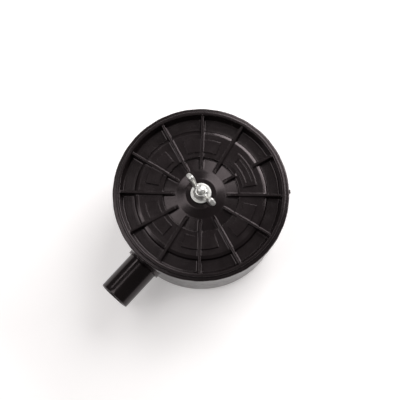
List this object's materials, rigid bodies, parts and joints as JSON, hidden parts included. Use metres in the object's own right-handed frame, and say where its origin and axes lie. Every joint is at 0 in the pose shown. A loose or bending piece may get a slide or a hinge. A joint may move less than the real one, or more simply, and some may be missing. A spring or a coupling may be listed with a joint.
{
  "type": "intake air filter silencer",
  "caption": "Black moulded intake filter silencer: round drum, side hose spigot, ribbed dish cover held by a wing nut on a centre rod, pleated element inside.",
  "frame": {"origin": "centre of the drum's flat back face", "axes": "+Z along the centre rod from the back face to the cover; +X along the hose spigot, out of the drum"},
  "size_m": [0.1865, 0.15, 0.0966],
  "materials": {
    "drum_plastic": "black moulded polypropylene, satin to gloss",
    "cover_plastic": "black moulded polypropylene, satin, lightly scuffed",
    "spigot_plastic": "black, smooth and glossy",
    "cage_plastic": "black moulded plastic",
    "zinc_casting": "bright zinc plate, lightly cast surface",
    "zinc_steel": "bright zinc plate",
    "screen_wire": "galvanised",
    "brass_insert": "bright turned brass",
    "seal_rubber": "moulded rubber, satin",
    "cap_rubber": "cast polyurethane",
    "filter_paper": "resin-treated pleated filter paper",
    "liner_foam": "open-cell acoustic foam",
    "sleeve_foam": "open-cell filter foam"
  },
  "bodies": {
    "drum": {"canister_body": "drum_plastic", "outlet_spigot": "spigot_plastic", "rod_insert": "brass_insert", "tie_rod": "zinc_steel", "rod_washer": "zinc_steel", "rod_lock_nut": "zinc_steel", "intake_screen": "screen_wire", "silencing_liner": "liner_foam"},
    "lid": {"cover": "cover_plastic", "cover_gasket": "seal_rubber"},
    "washer_stack": {"sealing_washer": "seal_rubber", "flat_washer": "zinc_steel"},
    "clamp_nut": {"wing_nut": "zinc_casting"},
    "filter_element": {"inner_cage": "cage_plastic", "pleated_paper": "filter_paper", "guard_mesh": "screen_wire", "foam_sleeve": "sleeve_foam", "element_top_cap": "cap_rubber", "element_bottom_cap": "cap_rubber", "element_top_seal": "seal_rubber", "element_bottom_seal": "seal_rubber"}
  },
  "joints": [
    {"name": "cover_lift", "type": "slide", "parent": "drum", "child": "lid", "axis": [0, 0, 1], "range_m": [0, 0.14]},
    {"name": "washer_lift", "type": "slide", "parent": "lid", "child": "washer_stack", "axis": [0, 0, 1], "range_m": [0, 0.0141]},
    {"name": "wing_nut_turn", "type": "hinge", "parent": "washer_stack", "child": "clamp_nut", "pos_m": [0, 0, 0.08], "axis": [0, 0, 1], "range_deg": [0, 5040]},
    {"name": "element_lift", "type": "slide", "parent": "drum", "child": "filter_element", "axis": [0, 0, 1], "range_m": [0, 0.0701]}
  ],
  "couplings": [
    {"joint": "washer_lift", "follows": "wing_nut_turn", "m_per_rad": 0.00015915},
    {"joint": "element_lift", "follows": "cover_lift", "ratio": 0.5}
  ]
}
